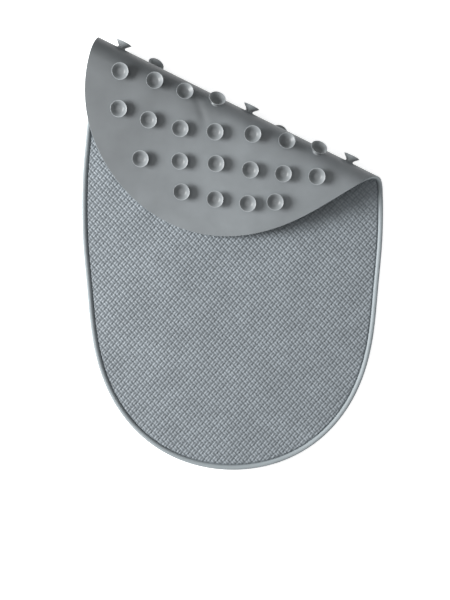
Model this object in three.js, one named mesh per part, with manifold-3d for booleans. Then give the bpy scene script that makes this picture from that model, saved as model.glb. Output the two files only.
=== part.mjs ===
// Suction bath mat, one corner folded over. Millimetres, +Z up, cups standing on z = 0.
import * as THREE from 'three';
import Module from 'manifold-3d';

// ---- driving dimensions ----
const OUTLINE = [5.57313, -0.29254, 0.00747, 0.01366, -0.00069, -0.00132, -0.00074]; // ln radius = sum c_i cos(2 i angle)
const FAR_END = 0.972;        // the far half's length over the near half's
const SHEET = 2.5;            // sheet thickness
const SKIN = 0.8;             // underside layer that carries the cups
const BEAD_W = 6.2;           // rim bead width
const BEAD_H = 2.0;           // rim bead height over the tread
const GROOVE = 0.6;           // gap between bead and sheet
const CUP_H = 8.5;            // cup height under the sheet
const CUP_R = 11.0;           // cup lip radius
const FOLD_TURN = 26.5;       // degrees from the mat's cross axis to the fold line
const FOLD_AT = 95.5;         // from the mat's centre to where the fold starts
const FOLD_R = 22.7;          // radius of the fold, on the cup side
const FOLD_ANGLE = 194;       // degrees
const STRIPS = 7;             // strips that stand in for the bending zone
const GAP = 0.15;             // half the gap between strips
const ROW = 30;               // row pitch of the cups
const FIRST_ROW = -317;
const CUPS = [[-0.6,-317.0],[63.3,-314.1],[-64.4,-313.7],[-98.4,-287.0],[-33.2,-287.0],[32.0,-287.0],[97.2,-287.0],[-131.0,-257.0],[-65.8,-257.0],[-0.6,-257.0],[64.6,-257.0],[129.8,-257.0],[-98.4,-227.0],[-33.2,-227.0],[32.0,-227.0],[97.2,-227.0],[149.4,-222.3],[-149.6,-221.9],[-131.0,-197.0],[-65.8,-197.0],[-0.6,-197.0],[64.6,-197.0],[129.8,-197.0],[-163.4,-167.0],[-98.4,-167.0],[-33.2,-167.0],[32.0,-167.0],[97.2,-167.0],[162.4,-167.0],[-131.0,-137.0],[-65.8,-137.0],[-0.6,-137.0],[64.6,-137.0],[129.8,-137.0],[-163.6,-107.0],[-98.4,-107.0],[-33.2,-107.0],[32.0,-107.0],[97.2,-107.0],[162.4,-107.0],[-131.0,-77.0],[-65.8,-77.0],[-0.6,-77.0],[64.6,-77.0],[129.8,-77.0],[-163.6,-47.0],[-98.4,-47.0],[-33.2,-47.0],[32.0,-47.0],[97.2,-47.0],[162.4,-47.0],[-131.0,-17.0],[-65.8,-17.0],[-0.6,-17.0],[64.6,-17.0],[129.8,-17.0],[-163.6,13.0],[-98.4,13.0],[-33.2,13.0],[32.0,13.0],[97.2,13.0],[162.4,13.0],[-131.0,43.0],[-65.8,43.0],[-0.6,43.0],[64.6,43.0],[158.5,68.2],[-163.6,73.0],[-98.4,73.0],[-33.2,73.0],[32.0,73.0],[94.7,67.9],[-131.0,103.0],[-65.8,103.0],[-0.6,103.0],[60.6,94.9],[128.2,105.8],[154.2,126.3],[27.3,133.7],[95.9,132.7],[-163.6,133.0],[-98.4,133.0],[-33.2,133.0],[125.4,158.7],[61.3,160],[-131.0,163.0],[-71.2,152.2],[-1.1,172.6],[148.3,189.2],[95.7,189.8],[-102.6,184.7],[29.3,196.4],[-34,198.6],[-139.9,217.0],[128.4,219],[-68.8,220.3],[62.3,220.5],[-1.5,230],[-106.2,246.8],[98.3,249.9],[-35.3,256],[31.2,256.5],[-70.2,278.3],[64.2,279.4],[-2.4,295.9]];

const rad = Math.PI / 180;
const THETA = FOLD_ANGLE * rad, ARC = FOLD_R * THETA, WIDE = ARC / STRIPS;
const U = [Math.cos(FOLD_TURN * rad), -Math.sin(FOLD_TURN * rad)];
const N = [Math.sin(FOLD_TURN * rad), Math.cos(FOLD_TURN * rad)];

// ---- the flat mat ----
function rim(a, inset) {
  const at = (b) => {
    let l = 0;
    OUTLINE.forEach((c, i) => { l += c * Math.cos(2 * i * b); });
    const r = Math.exp(l), y = r * Math.sin(b);
    return [r * Math.cos(b), y > 0 ? y * FAR_END : y];
  };
  const p = at(a);
  if (!inset) return p;
  const q = at(a + 1e-4), m = at(a - 1e-4);
  const dx = q[0] - m[0], dy = q[1] - m[1], d = Math.hypot(dx, dy);
  return [p[0] - inset * dy / d, p[1] + inset * dx / d];
}
const along = (p) => p[0] * N[0] + p[1] * N[1] - FOLD_AT;
const across = (p) => p[0] * U[0] + p[1] * U[1];
const flat = (s, t) => [t * U[0] + (s + FOLD_AT) * N[0], t * U[1] + (s + FOLD_AT) * N[1]];

// ---- flat to folded: h is measured from the underside towards the tread ----
function fold(p, h) {
  const s = along(p), t = across(p);
  const f = Math.min(Math.max(s / FOLD_R, 0), THETA), ex = Math.max(s - ARC, 0);
  const q = (s < 0 ? s : FOLD_R * Math.sin(f) + ex * Math.cos(THETA)) - h * Math.sin(f);
  const z = (s < 0 ? 0 : FOLD_R * (1 - Math.cos(f)) + ex * Math.sin(THETA)) + h * Math.cos(f);
  return [t * U[0] + (FOLD_AT + q) * N[0], t * U[1] + (FOLD_AT + q) * N[1], CUP_H + z];
}

let top = 0;
for (let i = 0; i < 3600; i++) if (along(rim(i / 10 * rad, 0)) > along(rim(top, 0))) top = i / 10 * rad;
function crossing(s, inset, side) {         // side +1 is towards +U
  let lo = top - side * 150 * rad, hi = top;
  for (let i = 0; i < 50; i++) {
    const m = (lo + hi) / 2;
    if (along(rim(m, inset)) < s) lo = m; else hi = m;
  }
  return (lo + hi) / 2;
}

// ---- mesh helpers: {v: [[x,y,z]], f: [[a,b,c]]} ----
function outward(m) {
  let vol = 0;
  for (const [a, b, c] of m.f) {
    const p = m.v[a], q = m.v[b], r = m.v[c];
    vol += p[0] * (q[1] * r[2] - q[2] * r[1]) - p[1] * (q[0] * r[2] - q[2] * r[0]) + p[2] * (q[0] * r[1] - q[1] * r[0]);
  }
  if (vol < 0) m.f = m.f.map(([a, b, c]) => [a, c, b]);
  return m;
}
function rings(list, caps) {                // list of equal rings of points, caps = triangles over one ring
  const k = list[0].length, v = list.flat(), f = [];
  for (let i = 0; i + 1 < list.length; i++)
    for (let j = 0; j < k; j++) {
      const a = i * k + j, b = i * k + (j + 1) % k;
      f.push([a, b, b + k], [a, b + k, a + k]);
    }
  const end = (list.length - 1) * k;
  for (const [a, b, c] of caps) { f.push([a, c, b]); f.push([end + a, end + b, end + c]); }
  return outward({ v, f });
}
function capOf(pts) {                       // triangles wound the same way as the polygon
  const p = pts.map((q) => new THREE.Vector2(q[0], q[1]));
  const way = THREE.ShapeUtils.area(p);
  return THREE.ShapeUtils.triangulateShape(p, []).map(([a, b, c]) =>
    (THREE.ShapeUtils.area([p[a], p[b], p[c]]) * way > 0 ? [a, b, c] : [a, c, b]));
}
function slab(poly, h0, h1) {
  return rings([poly.map((p) => fold(p, h0)), poly.map((p) => fold(p, h1))], capOf(poly));
}
function clip(poly, keep) {                 // keep(p) >= 0 stays
  const out = [];
  poly.forEach((p, i) => {
    const q = poly[(i + 1) % poly.length], a = keep(p), b = keep(q);
    if (a >= 0) out.push(p);
    if ((a >= 0) !== (b >= 0)) {
      const k = a / (a - b);
      out.push([p[0] + k * (q[0] - p[0]), p[1] + k * (q[1] - p[1])]);
    }
  });
  return out;
}
function ringPoly(inset, n) {
  const out = [];
  for (let i = 0; i < n; i++) out.push(rim(i / n * 2 * Math.PI, inset));
  return out;
}

// ---- rim bead section: inset from the edge, height from the underside ----
const T = SHEET, B = SHEET + BEAD_H, W = BEAD_W;
const BEAD = [[0, 0], [0, T + 0.7], [0.9, B - 0.35], [2.5, B], [4.3, B - 0.25], [5.6, T + 0.9], [W, T - 0.1], [W, 0]];
function bead(s, sgn, n) {                  // sgn -1: the near part, +1: the far part
  const list = [];
  for (let i = 0; i <= n; i++) list.push(BEAD.map(([e, h]) => {
    let a = crossing(s, e, 1), b = crossing(s, e, -1);
    if (sgn < 0) b -= 2 * Math.PI;
    return fold(rim(a + (b - a) * i / n, e), h);
  }));
  return rings(list, capOf(BEAD));
}

// ---- a strip of the bending zone, with its piece of bead at both ends ----
const TOPLINE = [[0, T + 0.7], [0.9, B - 0.35], [2.5, B], [4.3, B - 0.25], [5.6, T + 0.9], [6.5, T]];
function strip(i) {
  const s0 = i * WIDE + GAP, s1 = (i + 1) * WIDE - GAP, list = [];
  let section;
  for (let k = 0; k <= 3; k++) {
    const s = s0 + (s1 - s0) * k / 3;
    const t = (e, side) => across(rim(crossing(s, e, side), e));
    const ring = [[t(0, -1), 0], ...TOPLINE.map(([e, h]) => [t(e, -1), h]),
      ...TOPLINE.map(([e, h]) => [t(e, 1), h]).reverse(), [t(0, 1), 0]];
    if (!section) section = ring;
    list.push(ring.map(([x, h]) => fold(flat(s, x), h)));
  }
  return rings(list, capOf(section));
}

// ---- cups ----
const CUP = [[0, 0.06], [4.6, 0.06], [4.3, 1.6], [6.9, 4.9], [CUP_R, CUP_H], [CUP_R - 1, CUP_H], [5.4, 5.6], [0, 4.9]];
const FOLD_CUP = [[0, 0.06], [3.0, 0.06], [3.0, 1.9], [6.9, 4.9], [CUP_R, CUP_H], [CUP_R - 1, CUP_H], [5.4, 5.6], [0, 4.9]];
const UNDER_CUP = [[0, -0.4], [4.6, -0.4], [4.3, 1.6], [CUP_R, CUP_H], [CUP_R - 1, CUP_H], [5.0, 5.5], [0, 4.9]];
function cup(p, profile, seg, size = 1) {
  const s = along(p), f = Math.min(Math.max(s / FOLD_R, 0), THETA);
  const c = fold(p, 0), ax = [Math.sin(f) * N[0], Math.sin(f) * N[1], -Math.cos(f)];
  const e1 = [U[0], U[1], 0];
  const e2 = [ax[1] * e1[2] - ax[2] * e1[1], ax[2] * e1[0] - ax[0] * e1[2], ax[0] * e1[1] - ax[1] * e1[0]];
  const v = [], f3 = [];
  const at = (r, h, a) => [0, 1, 2].map((k) => c[k] + ax[k] * h * size + r * size * (Math.cos(a) * e1[k] + Math.sin(a) * e2[k]));
  const mid = profile.slice(1, -1), n = mid.length;
  mid.forEach(([r, h]) => { for (let j = 0; j < seg; j++) v.push(at(r, h, j / seg * 2 * Math.PI)); });
  v.push(at(0, profile[0][1], 0), at(0, profile[profile.length - 1][1], 0));
  for (let j = 0; j < seg; j++) {
    const k = (j + 1) % seg;
    for (let i = 0; i + 1 < n; i++) {
      const a = i * seg + j, b = i * seg + k;
      f3.push([a, b, b + seg], [a, b + seg, a + seg]);
    }
    f3.push([n * seg, k, j], [n * seg + 1, (n - 1) * seg + j, (n - 1) * seg + k]);
  }
  return outward({ v, f: f3 });
}

const wasm = await Module();
wasm.setup();
const solid = (m) => new wasm.Manifold(new wasm.Mesh({ numProp: 3, vertProperties: new Float32Array(m.v.flat()), triVerts: new Uint32Array(m.f.flat()) }));
function back(man) {
  const g = man.getMesh(), v = [], f = [];
  for (let i = 0; i < g.vertProperties.length; i += g.numProp) v.push([g.vertProperties[i], g.vertProperties[i + 1], g.vertProperties[i + 2]]);
  for (let i = 0; i < g.triVerts.length; i += 3) f.push([g.triVerts[i], g.triVerts[i + 1], g.triVerts[i + 2]]);
  return { v, f };
}

// ---- the part ----
const group = new THREE.Group();
group.name = 'suction_bath_mat';
const TREAD = 0x8e979b, BEADS = 0x939da1, CUPC = 0x959da0;
function add(name, m, colour) {
  const g = new THREE.BufferGeometry();
  g.setAttribute('position', new THREE.BufferAttribute(new Float32Array(m.v.flat()), 3));
  g.setIndex(m.f.flat());
  g.computeVertexNormals();
  const mesh = new THREE.Mesh(g, new THREE.MeshStandardMaterial({ color: colour, roughness: 0.6, metalness: 0, flatShading: true }));
  mesh.name = name;
  group.add(mesh);
}

const inner = ringPoly(BEAD_W + GROOVE, 120);
const near = clip(inner, (p) => -GAP - along(p));
add('tread_sheet', slab(near, SKIN + 0.1, SHEET), TREAD);
add('rim_bead_main', bead(-GAP, -1, 96), BEADS);

// underside rows of the flat part, each with its cups
const mainCups = [], foldCups = [], flapCups = [];
for (const c of CUPS) {
  let s = along(c), t = across(c);
  if (s > -4.8 && s < 0) s = -4.8;
  if (s < 0) { mainCups.push([flat(s, t), c]); continue; }
  if (s < ARC) {
    if (s > ARC - 1.5) { flapCups.push([flat(ARC + 4.8, t), c]); continue; }
    const i = Math.min(Math.floor(s / WIDE), STRIPS - 1), m = (i + 0.5) * WIDE;
    s = Math.min(Math.max(s, m - 2.1), m + 2.1);
    foldCups.push([flat(s, t), i]);
    continue;
  }
  flapCups.push([flat(Math.max(s, ARC + 4.8), t), c]);
}
const ROWS = 17;
for (let r = 0; r < ROWS; r++) {
  const y = FIRST_ROW + r * ROW;
  let poly = near;
  if (r > 0) poly = clip(poly, (p) => p[1] - (y - ROW / 2 + GAP));
  if (r < ROWS - 1) poly = clip(poly, (p) => (y + ROW / 2 - GAP) - p[1]);
  let man = solid(slab(poly, 0, SKIN));
  for (const [p, c] of mainCups) {
    if (Math.min(Math.max(Math.round((c[1] - FIRST_ROW) / ROW), 0), ROWS - 1) === r) man = man.add(solid(cup(p, UNDER_CUP, 10)));
  }
  add('cup_row_' + String(r + 1).padStart(2, '0'), back(man), CUPC);
}

for (let i = 0; i < STRIPS; i++) add('fold_strip_' + (i + 1), strip(i), TREAD);
const seen = {};
foldCups.forEach(([p, i]) => {
  const f = along(p) / FOLD_R;
  const size = Math.min(1, (CUP_H + FOLD_R * (1 - Math.cos(f)) - 0.3) / Math.max(1, CUP_H * Math.cos(f) + CUP_R * Math.sin(f)));
  seen[i] = (seen[i] || 0) + 1;
  add('fold_cup_' + (i + 1) + 'abcdefgh'[seen[i] - 1], cup(p, FOLD_CUP, 14, f < 1 ? size : 1), CUPC);
});

const far = clip(inner, (p) => along(p) - ARC - GAP);
add('flap_sheet', slab(far, 0, SHEET), TREAD);
add('rim_bead_flap', bead(ARC + GAP, 1, 56), BEADS);
flapCups.forEach(([p], i) => add('flap_cup_' + String(i + 1).padStart(2, '0'), cup(p, CUP, 14), CUPC));

// origin: middle of the footprint, at the cup lips
const box = new THREE.Box3().setFromObject(group);
const mid = [(box.min.x + box.max.x) / 2, (box.min.y + box.max.y) / 2, box.min.z];
for (const m of group.children) m.geometry.translate(-mid[0], -mid[1], -mid[2]);

export default group;
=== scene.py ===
import bpy, math
import numpy as np
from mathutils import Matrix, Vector


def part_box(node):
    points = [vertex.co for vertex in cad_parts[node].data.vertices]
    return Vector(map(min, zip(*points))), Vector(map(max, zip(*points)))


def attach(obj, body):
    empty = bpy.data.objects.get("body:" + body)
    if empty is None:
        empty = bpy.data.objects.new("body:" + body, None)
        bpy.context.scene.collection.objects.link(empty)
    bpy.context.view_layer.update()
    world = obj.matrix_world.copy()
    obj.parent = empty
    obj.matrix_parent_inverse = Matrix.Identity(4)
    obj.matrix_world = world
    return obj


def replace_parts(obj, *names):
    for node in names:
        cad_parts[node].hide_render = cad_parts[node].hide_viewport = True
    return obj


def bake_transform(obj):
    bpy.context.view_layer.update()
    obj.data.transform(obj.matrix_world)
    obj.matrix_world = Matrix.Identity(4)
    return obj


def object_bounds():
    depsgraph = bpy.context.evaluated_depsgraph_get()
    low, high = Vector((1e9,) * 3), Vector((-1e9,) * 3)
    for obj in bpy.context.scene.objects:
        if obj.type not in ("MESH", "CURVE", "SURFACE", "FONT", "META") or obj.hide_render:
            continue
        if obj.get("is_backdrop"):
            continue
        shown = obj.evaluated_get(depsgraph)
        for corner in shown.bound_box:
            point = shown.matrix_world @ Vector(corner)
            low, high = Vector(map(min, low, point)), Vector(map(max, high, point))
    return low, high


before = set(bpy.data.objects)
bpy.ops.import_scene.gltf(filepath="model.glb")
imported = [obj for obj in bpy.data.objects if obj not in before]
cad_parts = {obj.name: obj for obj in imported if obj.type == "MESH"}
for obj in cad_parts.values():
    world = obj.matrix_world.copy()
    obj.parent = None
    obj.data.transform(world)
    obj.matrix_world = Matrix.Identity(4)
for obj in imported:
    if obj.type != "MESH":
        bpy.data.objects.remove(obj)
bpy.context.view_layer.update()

# ---------------------------------------------------------------- dimensions, mm, as in the CAD
OUTLINE = [5.57313, -0.29254, 0.00747, 0.01366, -0.00069, -0.00132, -0.00074]
FAR_END, SHEET, BEAD_W, BEAD_H = 0.972, 2.5, 6.2, 2.0
CUP_H, CUP_R = 8.5, 11.0
TURN, FOLD_AT, FOLD_R, FOLD_ANGLE, STRIPS = math.radians(26.5), 95.5, 22.7, math.radians(194), 7
ARC = FOLD_R * FOLD_ANGLE
WIDE = ARC / STRIPS
ROW, FIRST_ROW, ROWS = 30, -317, 17
CUPS = [[-0.6,-317.0],[63.3,-314.1],[-64.4,-313.7],[-98.4,-287.0],[-33.2,-287.0],[32.0,-287.0],[97.2,-287.0],[-131.0,-257.0],[-65.8,-257.0],[-0.6,-257.0],[64.6,-257.0],[129.8,-257.0],[-98.4,-227.0],[-33.2,-227.0],[32.0,-227.0],[97.2,-227.0],[149.4,-222.3],[-149.6,-221.9],[-131.0,-197.0],[-65.8,-197.0],[-0.6,-197.0],[64.6,-197.0],[129.8,-197.0],[-163.4,-167.0],[-98.4,-167.0],[-33.2,-167.0],[32.0,-167.0],[97.2,-167.0],[162.4,-167.0],[-131.0,-137.0],[-65.8,-137.0],[-0.6,-137.0],[64.6,-137.0],[129.8,-137.0],[-163.6,-107.0],[-98.4,-107.0],[-33.2,-107.0],[32.0,-107.0],[97.2,-107.0],[162.4,-107.0],[-131.0,-77.0],[-65.8,-77.0],[-0.6,-77.0],[64.6,-77.0],[129.8,-77.0],[-163.6,-47.0],[-98.4,-47.0],[-33.2,-47.0],[32.0,-47.0],[97.2,-47.0],[162.4,-47.0],[-131.0,-17.0],[-65.8,-17.0],[-0.6,-17.0],[64.6,-17.0],[129.8,-17.0],[-163.6,13.0],[-98.4,13.0],[-33.2,13.0],[32.0,13.0],[97.2,13.0],[162.4,13.0],[-131.0,43.0],[-65.8,43.0],[-0.6,43.0],[64.6,43.0],[158.5,68.2],[-163.6,73.0],[-98.4,73.0],[-33.2,73.0],[32.0,73.0],[94.7,67.9],[-131.0,103.0],[-65.8,103.0],[-0.6,103.0],[60.6,94.9],[128.2,105.8],[154.2,126.3],[27.3,133.7],[95.9,132.7],[-163.6,133.0],[-98.4,133.0],[-33.2,133.0],[125.4,158.7],[61.3,160],[-131.0,163.0],[-71.2,152.2],[-1.1,172.6],[148.3,189.2],[95.7,189.8],[-102.6,184.7],[29.3,196.4],[-34,198.6],[-139.9,217.0],[128.4,219],[-68.8,220.3],[62.3,220.5],[-1.5,230],[-106.2,246.8],[98.3,249.9],[-35.3,256],[31.2,256.5],[-70.2,278.3],[64.2,279.4],[-2.4,295.9]]

U = np.array([math.cos(TURN), -math.sin(TURN)])
N = np.array([math.sin(TURN), math.cos(TURN)])
SHIFT_Y = -350.502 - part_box("rim_bead_main")[0].y * 1000

# ---------------------------------------------------------------- the flat mat
def radius(a):
    return np.exp(sum(c * np.cos(2 * i * a) for i, c in enumerate(OUTLINE)))

def rim(a, inset=0.0):
    a = np.asarray(a, float)
    def at(b):
        r = radius(b)
        y = r * np.sin(b)
        return np.stack([r * np.cos(b), np.where(y > 0, y * FAR_END, y)], -1)
    d = at(a + 1e-4) - at(a - 1e-4)
    d /= np.linalg.norm(d, axis=-1, keepdims=True)
    return at(a) + np.stack([-d[..., 1], d[..., 0]], -1) * np.asarray(inset)[..., None]

def edge_distance(p):
    """About how far inside the rim a flat point lies, negative outside."""
    y = np.where(p[..., 1] > 0, p[..., 1] / FAR_END, p[..., 1])
    a, r = np.arctan2(y, p[..., 0]), np.hypot(p[..., 0], y)
    R = radius(a)
    slope = (np.log(radius(a + 1e-4)) - np.log(radius(a - 1e-4))) / 2e-4
    return (R - r) / np.sqrt(1 + slope ** 2)

def along(p):
    return p @ N - FOLD_AT

def flat(s, t):
    s, t = np.broadcast_arrays(np.asarray(s, float), np.asarray(t, float))
    return t[..., None] * U + (s[..., None] + FOLD_AT) * N

def fold(p, h):
    """Flat point and height over the underside, in mm, to a folded point in metres in the row frame."""
    p = np.asarray(p, float)
    h = np.asarray(h, float)
    s, t = along(p), p @ U
    f, ex = np.clip(s / FOLD_R, 0, FOLD_ANGLE), np.clip(s - ARC, 0, None)
    q = np.where(s < 0, s, FOLD_R * np.sin(f) + ex * math.cos(FOLD_ANGLE)) - h * np.sin(f)
    z = np.where(s < 0, 0, FOLD_R * (1 - np.cos(f)) + ex * math.sin(FOLD_ANGLE)) + h * np.cos(f)
    x = t * U[0] + (FOLD_AT + q) * N[0]
    y = t * U[1] + (FOLD_AT + q) * N[1]
    return np.stack([x, y - SHIFT_Y, CUP_H + z], -1) / 1000

_a = np.radians(np.arange(0, 360, 0.05))
TOP = float(_a[np.argmax(along(rim(_a)))])

def crossing(s, inset, side):
    lo, hi = TOP - side * math.radians(150), TOP
    for _ in range(46):
        m = (lo + hi) / 2
        if along(rim(m, inset)) < s:
            lo = m
        else:
            hi = m
    return (lo + hi) / 2

# the bodies along the mat, and where each piece of the bending zone starts and ends
MIDS = [-WIDE / 2] + [(i + 0.5) * WIDE for i in range(STRIPS)] + [ARC + WIDE / 2]

# ---------------------------------------------------------------- materials
def rubber(name, colour, rough=0.56, mottle=0.05):
    m = bpy.data.materials.new(name)
    m.use_nodes = True
    nt = m.node_tree
    b = nt.nodes["Principled BSDF"]
    b.inputs["Roughness"].default_value = rough
    b.inputs["Specular IOR Level"].default_value = 0.42
    co = nt.nodes.new("ShaderNodeTexCoord")
    big = nt.nodes.new("ShaderNodeTexNoise")
    big.inputs["Scale"].default_value = 22.0
    big.inputs["Detail"].default_value = 3.0
    nt.links.new(co.outputs["Object"], big.inputs["Vector"])
    fine = nt.nodes.new("ShaderNodeTexNoise")
    fine.inputs["Scale"].default_value = 900.0
    fine.inputs["Detail"].default_value = 2.0
    nt.links.new(co.outputs["Object"], fine.inputs["Vector"])
    r = nt.nodes.new("ShaderNodeMapRange")
    r.inputs["From Min"].default_value, r.inputs["From Max"].default_value = 0.3, 0.7
    r.inputs["To Min"].default_value, r.inputs["To Max"].default_value = 1 - mottle, 1 + mottle
    nt.links.new(big.outputs["Fac"], r.inputs["Value"])
    value = r.outputs["Result"]
    at = nt.nodes.new("ShaderNodeAttribute")
    at.attribute_name = "tint"
    mul = nt.nodes.new("ShaderNodeMath")
    mul.operation = "MULTIPLY"
    nt.links.new(value, mul.inputs[0])
    nt.links.new(at.outputs["Fac"], mul.inputs[1])
    hsv = nt.nodes.new("ShaderNodeVectorMath")
    hsv.operation = "SCALE"
    hsv.inputs[0].default_value = colour
    nt.links.new(mul.outputs[0], hsv.inputs["Scale"])
    nt.links.new(hsv.outputs[0], b.inputs["Base Color"])
    bump = nt.nodes.new("ShaderNodeBump")
    bump.inputs["Strength"].default_value = 0.25
    bump.inputs["Distance"].default_value = 0.0001
    nt.links.new(fine.outputs["Fac"], bump.inputs["Height"])
    nt.links.new(bump.outputs["Normal"], b.inputs["Normal"])
    rr = nt.nodes.new("ShaderNodeMapRange")
    rr.inputs["To Min"].default_value, rr.inputs["To Max"].default_value = rough - 0.05, rough + 0.06
    nt.links.new(big.outputs["Fac"], rr.inputs["Value"])
    nt.links.new(rr.outputs["Result"], b.inputs["Roughness"])
    return m

TREAD = rubber("tread_rubber", (0.244, 0.275, 0.299), 0.46, 0.07)
RIM = rubber("rim_rubber", (0.280, 0.315, 0.332), 0.58)
UNDER = rubber("under_rubber", (0.188, 0.205, 0.215), 0.52, 0.10)
CUPM = rubber("cup_rubber", (0.205, 0.221, 0.229), 0.42)

# ---------------------------------------------------------------- mesh helpers
def make(name, v, faces, mats, index=None, normals=None, tint=None):
    me = bpy.data.meshes.new(name)
    me.from_pydata(np.asarray(v, float).tolist(), [], faces if isinstance(faces, list) else faces.tolist())
    for m in mats:
        me.materials.append(m)
    if index is not None:
        me.polygons.foreach_set("material_index", np.asarray(index, np.int32))
    me.polygons.foreach_set("use_smooth", np.ones(len(me.polygons), bool))
    at = me.attributes.new("tint", "FLOAT", "POINT")
    at.data.foreach_set("value", np.asarray(np.ones(len(me.vertices)) if tint is None else tint, np.float32))
    me.update()
    if normals is not None:
        me.normals_split_custom_set_from_vertices(np.asarray(normals, float).tolist())
    ob = bpy.data.objects.new(name, me)
    bpy.context.scene.collection.objects.link(ob)
    return ob

def facing(v, f, n):
    """The faces turned the way their vertices' normals point."""
    f, v, n = np.asarray(f), np.asarray(v), np.asarray(n)
    g = np.cross(v[f[:, 2]] - v[f[:, 0]], v[f[:, 3]] - v[f[:, 1]])
    return f[:, ::-1] if (g * n[f].mean(1)).sum() < 0 else f

def grid_faces(n, m, flip=False):
    i, j = np.meshgrid(np.arange(n - 1), np.arange(m - 1), indexing="ij")
    a = (i * m + j).ravel()
    f = np.stack([a, a + 1, a + m + 1, a + m], 1)
    return f[:, ::-1] if flip else f

class Patch:
    """Vertices, quads, normals, tints and a material number, added up for one piece."""
    def __init__(self):
        self.v, self.f, self.n, self.t, self.m, self.k = [], [], [], [], [], 0
    def add(self, v, f, n, t, mat):
        self.v.append(v); self.f.append(facing(v, f, n) + self.k); self.n.append(n); self.t.append(t)
        self.m.append(np.full(len(f), mat)); self.k += len(v)
    def build(self, name, mats):
        v, f = np.concatenate(self.v), np.concatenate(self.f)
        return make(name, v, f, mats, np.concatenate(self.m), np.concatenate(self.n), np.concatenate(self.t))

# ---------------------------------------------------------------- woven tread
PITCH, PER = 6.87, 6
STEP = PITCH / PER
LOW, RELIEF = SHEET - 1.35, 1.75
WEAVE = math.radians(46.2)
_n = 372
_i = np.arange(-_n, _n + 1)
IA, IB = np.meshgrid(_i, _i, indexing="ij")
A, B = IA * STEP, IB * STEP
FLAT = np.stack([A * math.cos(WEAVE) - B * math.sin(WEAVE), A * math.sin(WEAVE) + B * math.cos(WEAVE)], -1)
ca, cb = np.floor_divide(IA, PER), np.floor_divide(IB, PER)
ua, ub = (IA - ca * PER) / (PER / 2) - 1, (IB - cb * PER) / (PER / 2) - 1
kind = (ca + cb) % 2
lng, crs = np.where(kind == 0, ua, ub), np.where(kind == 0, ub, ua)
arch = 1 - 0.58 * np.abs(lng) ** 2.6
strand = np.interp(np.abs(crs), [0, 0.3333, 0.6667, 1], [0.42, 0.95, 0.90, 0.0])
weave = arch * strand
# on a cell's border the strand that ends there dives under its neighbour
side_a = np.interp(np.abs(ub), [0, 0.3333, 0.6667, 1], [0.42, 0.95, 0.90, 0.0])
side_b = np.interp(np.abs(ua), [0, 0.3333, 0.6667, 1], [0.42, 0.95, 0.90, 0.0])
weave = np.where(IA % PER == 0, 0.40 * side_a, np.where(IB % PER == 0, 0.40 * side_b, weave))
DIST = edge_distance(FLAT)
inner = np.clip((DIST - 6.4) / 1.6, 0, 1)
HEIGHT = LOW + RELIEF * weave * inner - 0.5 * (1 - inner)
POS = fold(FLAT, HEIGHT)
da = np.gradient(POS, axis=0)
db = np.gradient(POS, axis=1)
NRM = np.cross(da, db)
NRM /= np.linalg.norm(NRM, axis=-1, keepdims=True) + 1e-12
rng = np.random.default_rng(7)
cell = rng.uniform(0.94, 1.06, (400, 400))
# painted shade: the tread is darker in the low parts between strands, times a random tone per weave cell
TINT = (0.60 + 0.40 * np.clip(weave * 1.1, 0, 1)) * cell[(ca % 400), (cb % 400)]
# painted shade: the tread is darker in the groove next to the rim bead
TINT = TINT * (0.75 + 0.25 * inner)
M = 2 * _n + 1
ok = DIST > 2.2
quad_ok = ok[:-1, :-1] & ok[1:, :-1] & ok[:-1, 1:] & ok[1:, 1:]
SQ = along(FLAT)
centre = (SQ[:-1, :-1] + SQ[1:, 1:]) / 2
qi, qj = np.nonzero(quad_ok)
qs = centre[qi, qj]
corner = np.stack([qi * M + qj, (qi + 1) * M + qj, (qi + 1) * M + qj + 1, qi * M + qj + 1], 1)
PV, NV, TV = POS.reshape(-1, 3), NRM.reshape(-1, 3), TINT.reshape(-1)

def tread_part(lo, hi):
    f = corner[(qs >= lo) & (qs < hi)]
    used, inv = np.unique(f, return_inverse=True)
    return PV[used], inv.reshape(f.shape), NV[used], TV[used]

# ---------------------------------------------------------------- smooth underside
def ease(x, a, b):
    k = np.clip((x - a) / (b - a), 0, 1)
    return k * k * (3 - 2 * k)

def dent(p):
    """A soft crease that runs from the fold into the flap."""
    a, b = along(p) - 63, p @ U + 106
    l, w = (a * 27 + b * 28) / 38.9, (a * 28 - b * 27) / 38.9
    return 1.0 * np.exp(-(w / 5.5) ** 2) * ease(l, -12, 8) * (1 - ease(l, 26, 52))

def under_normals(p):
    f = np.clip(along(p) / FOLD_R, 0, FOLD_ANGLE)
    out = np.stack([np.sin(f) * N[0], np.sin(f) * N[1], -np.cos(f)], -1)
    at = lambda q: fold(q, dent(q))
    n = np.cross(at(p + 0.3 * U) - at(p - 0.3 * U), at(p + 0.3 * N) - at(p - 0.3 * N))
    n /= np.linalg.norm(n, axis=-1, keepdims=True)
    return n * np.sign((n * out).sum(-1, keepdims=True))

def under_tint(p):
    """Darker across the far part of the bend, with painted shade towards the flap's left and along the crease."""
    s, t = along(p), p @ U
    bent = np.exp(-((s - 0.86 * ARC) / 20) ** 2)
    # painted shade: the flap's left part is darker, standing in for shade
    side = 1 - ease(t, -225, 0)
    # painted shade along the crease valley
    crease = np.exp(-((s - 80) / 17) ** 2 - ((t + 84) / 17) ** 2)
    return (1 - 0.24 * bent) * (1 - 0.36 * side * ease(s, 20, 60)) * (1 - 0.22 * crease)

def under_part(lo, hi, step, cols=120):
    n = max(2, int(math.ceil((hi - lo) / step)) + 1)
    rows = []
    for s in np.linspace(lo, hi, n):
        t0 = float(rim(crossing(s, 0.4, -1), 0.4) @ U)
        t1 = float(rim(crossing(s, 0.4, 1), 0.4) @ U)
        rows.append(flat(s, np.linspace(t0, t1, cols)))
    p = np.array(rows)
    v = fold(p, dent(p)).reshape(-1, 3)
    return v, grid_faces(n, cols), under_normals(p).reshape(-1, 3), under_tint(p).reshape(-1)

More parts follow.
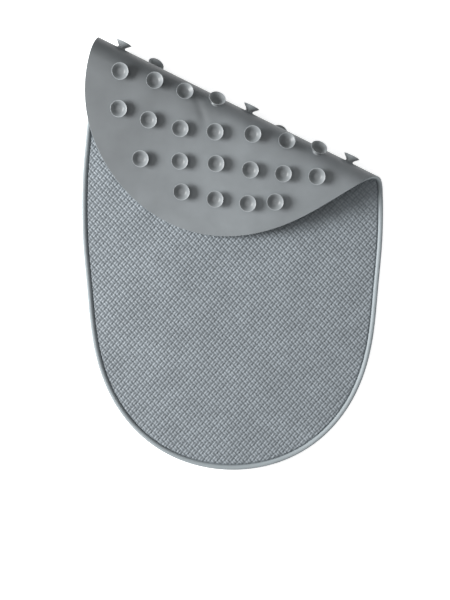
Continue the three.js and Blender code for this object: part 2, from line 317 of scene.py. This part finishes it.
def under_cap(s0, sgn, rings=90, cols=260):
    """The underside from a line across the mat to the end of the mat."""
    a0, a1 = crossing(s0, 0.4, 1), crossing(s0, 0.4, -1)
    if sgn < 0:
        a1 -= 2 * math.pi
    edge = rim(np.linspace(a0, a1, cols), 0.4)
    line = edge[0] + (edge[-1] - edge[0]) * np.linspace(0, 1, cols)[:, None]
    k = np.linspace(0, 1, rings)[:, None, None]
    p = line[None] * (1 - k) + edge[None] * k
    v = fold(p, dent(p)).reshape(-1, 3)
    return v, grid_faces(rings, cols, flip=sgn > 0)[:, ::-1], under_normals(p).reshape(-1, 3), under_tint(p).reshape(-1)

# ---------------------------------------------------------------- rim bead
T, BT = SHEET, SHEET + BEAD_H
PROFILE = [(1.0, -0.0), (0.35, 0.12), (0.05, 0.5), (0.0, 1.4), (0.0, 2.6), (0.12, 3.3), (0.5, 3.85), (1.1, 4.25), (1.9, 4.45), (2.7, 4.5),
           (3.5, 4.42), (4.3, 4.15), (5.0, 3.7), (5.6, 3.1), (6.0, 2.4), (6.2, 1.6), (6.25, 0.6)]

def bead_part(a_of, b_of, n):
    """a_of(inset) and b_of(inset): angles where this length of bead starts and ends."""
    k = np.linspace(0, 1, n)
    cols = []
    for e, h in PROFILE:
        ang = a_of(e) + (b_of(e) - a_of(e)) * k
        cols.append(fold(rim(ang, e), np.full(n, h)))
    v = np.stack(cols, 1)
    dl, dp = np.gradient(v, axis=0), np.gradient(v, axis=1)
    nr = np.cross(dl, dp)
    nr /= np.linalg.norm(nr, axis=-1, keepdims=True) + 1e-15
    out = v - v.mean(1, keepdims=True)
    return v, nr * np.sign((nr * out).sum()), n

def bead_add(patch, a_of, b_of, n, mat, flip):
    v, nr, n = bead_part(a_of, b_of, n)
    f = grid_faces(n, len(PROFILE), flip)
    patch.add(v.reshape(-1, 3), f, nr.reshape(-1, 3), np.ones(v.shape[0] * v.shape[1]), mat)

cache = {}
def cross_of(s, side):
    def g(e):
        key = (round(s, 5), side, e)
        if key not in cache:
            cache[key] = crossing(s, e, side)
        return cache[key]
    return g

# ---------------------------------------------------------------- the pieces of the sheet
S0, S1 = MIDS[0], MIDS[-1]
pieces = {}

v, f, n, t = tread_part(-1e9, S0)
ob = make("tread_main", v, facing(v, f, n), [TREAD], None, n, t)
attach(ob, "mat_main"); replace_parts(ob, "tread_sheet")
v, f, n, t = tread_part(S1, 1e9)
ob = make("tread_flap", v, facing(v, f, n), [TREAD], None, n, t)
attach(ob, "flap"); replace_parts(ob, "flap_sheet")

v, f, n, t = under_cap(S0, -1)
ob = make("underside_main", v, facing(v, f, n), [UNDER], None, n, t)
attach(ob, "mat_main")
v, f, n, t = under_cap(S1, 1)
ob = make("underside_flap", v, facing(v, f, n), [UNDER], None, n, t)
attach(ob, "flap")

p = Patch()
left = cross_of(S0, -1)
bead_add(p, cross_of(S0, 1), lambda e: left(e) - 2 * math.pi, 420, 0, True)
ob = p.build("rim_main", [RIM]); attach(ob, "mat_main"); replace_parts(ob, "rim_bead_main")
p = Patch()
bead_add(p, cross_of(S1, 1), cross_of(S1, -1), 260, 0, False)
ob = p.build("rim_flap", [RIM]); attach(ob, "flap"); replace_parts(ob, "rim_bead_flap")

for j in range(STRIPS + 1):
    lo, hi = MIDS[j], MIDS[j + 1]
    p = Patch()
    p.add(*tread_part(lo, hi), 0)
    p.add(*under_part(lo, hi, 0.9), 1)
    bead_add(p, cross_of(lo, 1), cross_of(hi, 1), 14, 2, False)
    bead_add(p, cross_of(hi, -1), cross_of(lo, -1), 14, 2, False)
    ob = p.build(f"bend_rubber_{j + 1}", [TREAD, UNDER, RIM])
    if j < STRIPS:
        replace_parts(ob, f"fold_strip_{j + 1}")
    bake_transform(ob)

# ---------------------------------------------------------------- cups
CUP = [(6.9, -0.05), (6.1, 0.12), (5.45, 0.5), (5.05, 1.1), (4.95, 1.9), (5.3, 2.7), (6.2, 3.7), (7.5, 4.95), (8.9, 6.25), (10.1, 7.45), (10.8, 8.1),
       (11.0, 8.33), (10.97, 8.46), (10.8, 8.5), (10.55, 8.42), (10.0, 8.0), (8.9, 6.95), (7.6, 5.75), (6.3, 4.55), (5.3, 3.8), (4.2, 3.45), (2.2, 3.35), (0.8, 3.3)]
# painted light on each cup, ring by ring: a painted highlight on the lip, painted shade at the neck under the bowl and
# down in the bowl
CUP_PAINTED_LIGHT = [1, 1, 0.9, 0.82, 0.82, 0.88, 0.95, 1, 1.04, 1.1, 1.2, 1.5, 1.7, 1.65, 1.4, 1.08, 0.98, 0.9, 0.82, 0.76, 0.72, 0.72, 0.72]

def cup_mesh(pos, size=1.0, seg=44):
    pos = np.array(pos, float)
    s = float(along(pos))
    f = min(max(s / FOLD_R, 0), FOLD_ANGLE)
    c = fold(pos, 0.0) * 1000
    ax = np.array([math.sin(f) * N[0], math.sin(f) * N[1], -math.cos(f)])
    e1 = np.array([U[0], U[1], 0.0])
    e2 = np.cross(ax, e1)
    a = np.linspace(0, 2 * math.pi, seg, endpoint=False)
    ring = np.cos(a)[:, None] * e1 + np.sin(a)[:, None] * e2
    v = [c + ax * h * size + ring * r * size for r, h in CUP]
    # the foot follows the curve of the sheet under it
    v = np.array(v)
    for k, (r, h) in enumerate(CUP[:4]):
        q = pos + np.stack([np.cos(a) * r * size, -np.sin(a) * r * size], -1) @ np.array([U, N])
        q = pos + (np.cos(a) * r * size)[:, None] * U + (np.sin(a) * r * size)[:, None] * np.array(N) * (1 if np.dot(e2, [N[0] * math.cos(f), N[1] * math.cos(f), math.sin(f)]) > 0 else -1)
        v[k] = fold(q, np.full(seg, -h * size)) * 1000
    v = v.reshape(-1, 3)
    n = len(CUP)
    j = np.arange(seg)
    k = (j + 1) % seg
    quads = np.concatenate([np.stack([i * seg + j, i * seg + k, (i + 1) * seg + k, (i + 1) * seg + j], 1) for i in range(n - 1)])
    v = np.concatenate([v, [c + ax * CUP[-1][1] * size]]) / 1000
    faces = quads.tolist() + [[(n - 1) * seg + int(x), (n - 1) * seg + int(y), n * seg] for x, y in zip(j, k)]
    # the cup's painted highlight and painted shade, per ring
    t = np.concatenate([np.repeat(CUP_PAINTED_LIGHT, seg), [0.95]])
    return v, faces, t

def cup_size(s):
    f = s / FOLD_R
    if s <= -5 or f >= 1:
        return 1.0
    f = max(f, 0)
    return min(1.0, (CUP_H + FOLD_R * (1 - math.cos(f)) - 0.1) / (CUP_H * math.cos(f) + CUP_R * math.sin(f)))

def add_cup(name, pos):
    s = float(along(np.array(pos)))
    v, f, t = cup_mesh(pos, cup_size(s))
    ob = make(name, v, f, [CUPM], None, None, t)
    if s <= S0:
        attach(ob, "mat_main")
    elif s >= S1:
        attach(ob, "flap")
    else:
        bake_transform(ob)
    return ob

rows = {r: [] for r in range(ROWS)}
seen, flaps = {}, 0
for c in CUPS:
    s = float(along(np.array(c)))
    if s < 0:
        r = min(max(int(math.floor((c[1] - FIRST_ROW) / ROW + 0.5)), 0), ROWS - 1)
        if s > S0:
            add_cup("cup_near_fold", c)
        else:
            rows[r].append(c)
    elif s < ARC - 1.5:
        i = min(int(s // WIDE), STRIPS - 1)
        seen[i] = seen.get(i, 0) + 1
        node = f"fold_cup_{i + 1}" + "abcdefgh"[seen[i] - 1]
        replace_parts(add_cup("cup_of_" + node, c), node)
    else:
        flaps += 1
        node = f"flap_cup_{flaps:02d}"
        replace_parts(add_cup("cup_of_" + node, c), node)
for r, cs in rows.items():
    vs, fs, ts, k = [], [], [], 0
    for c in cs:
        v, f, t = cup_mesh(c, 1.0, 32)
        vs.append(v); ts.append(t); fs += [[q + k for q in g] for g in f]; k += len(v)
    name = f"cup_row_{r + 1:02d}"
    ob = make("cups_of_" + name, np.concatenate(vs), fs, [CUPM], None, None, np.concatenate(ts))
    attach(ob, "mat_main"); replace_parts(ob, name)

# ---------------------------------------------------------------- stage, light, camera
me = bpy.data.meshes.new("floor")
me.from_pydata([(-6, -6, -0.0002), (6, -6, -0.0002), (6, 6, -0.0002), (-6, 6, -0.0002)], [], [(0, 1, 2, 3)])
floor = bpy.data.objects.new("floor", me)
bpy.context.scene.collection.objects.link(floor)
fm = bpy.data.materials.new("floor")
fm.use_nodes = True
fb = fm.node_tree.nodes["Principled BSDF"]
fb.inputs["Base Color"].default_value = (0.96, 0.96, 0.96, 1)
fb.inputs["Roughness"].default_value = 0.9
fb.inputs["Specular IOR Level"].default_value = 0.1
fb.inputs["Emission Color"].default_value = (1, 1, 1, 1)
fb.inputs["Emission Strength"].default_value = 0.64
me.materials.append(fm)
floor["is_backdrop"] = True

w = bpy.data.worlds.new("world")
bpy.context.scene.world = w
w.use_nodes = True
w.node_tree.nodes["Background"].inputs["Color"].default_value = (1.0, 1.0, 1.0, 1)
w.node_tree.nodes["Background"].inputs["Strength"].default_value = 0.20

def area(name, loc, target, size, energy, colour=(1, 1, 1)):
    l = bpy.data.lights.new(name, "AREA")
    l.shape, l.size, l.energy, l.color = "SQUARE", size, energy, colour
    o = bpy.data.objects.new(name, l)
    bpy.context.scene.collection.objects.link(o)
    o.location = loc
    o.rotation_euler = (Vector(target) - Vector(loc)).to_track_quat("-Z", "Y").to_euler()
    return o

area("key", (-2.1, 0.12, 1.05), (0, 0, 0), 1.0, 104)
area("overhead", (-0.3, 0, 2.7), (0, 0, 0), 3.0, 26)

cam = bpy.data.cameras.new("camera")
cam.sensor_width = 36
cam.sensor_fit = "AUTO"
cam.lens = 36 * 1489 / 797.4
cam.clip_start, cam.clip_end = 0.05, 20
co = bpy.data.objects.new("camera", cam)
bpy.context.scene.collection.objects.link(co)
co.location = (-0.0100, (-124.8 - SHIFT_Y) / 1000, 1.5)
co.rotation_euler = (0, 0, 0)
bpy.context.scene.camera = co
bpy.context.scene.view_settings.view_transform = "Standard"
bpy.context.scene.view_settings.look = "None"

lo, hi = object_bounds()
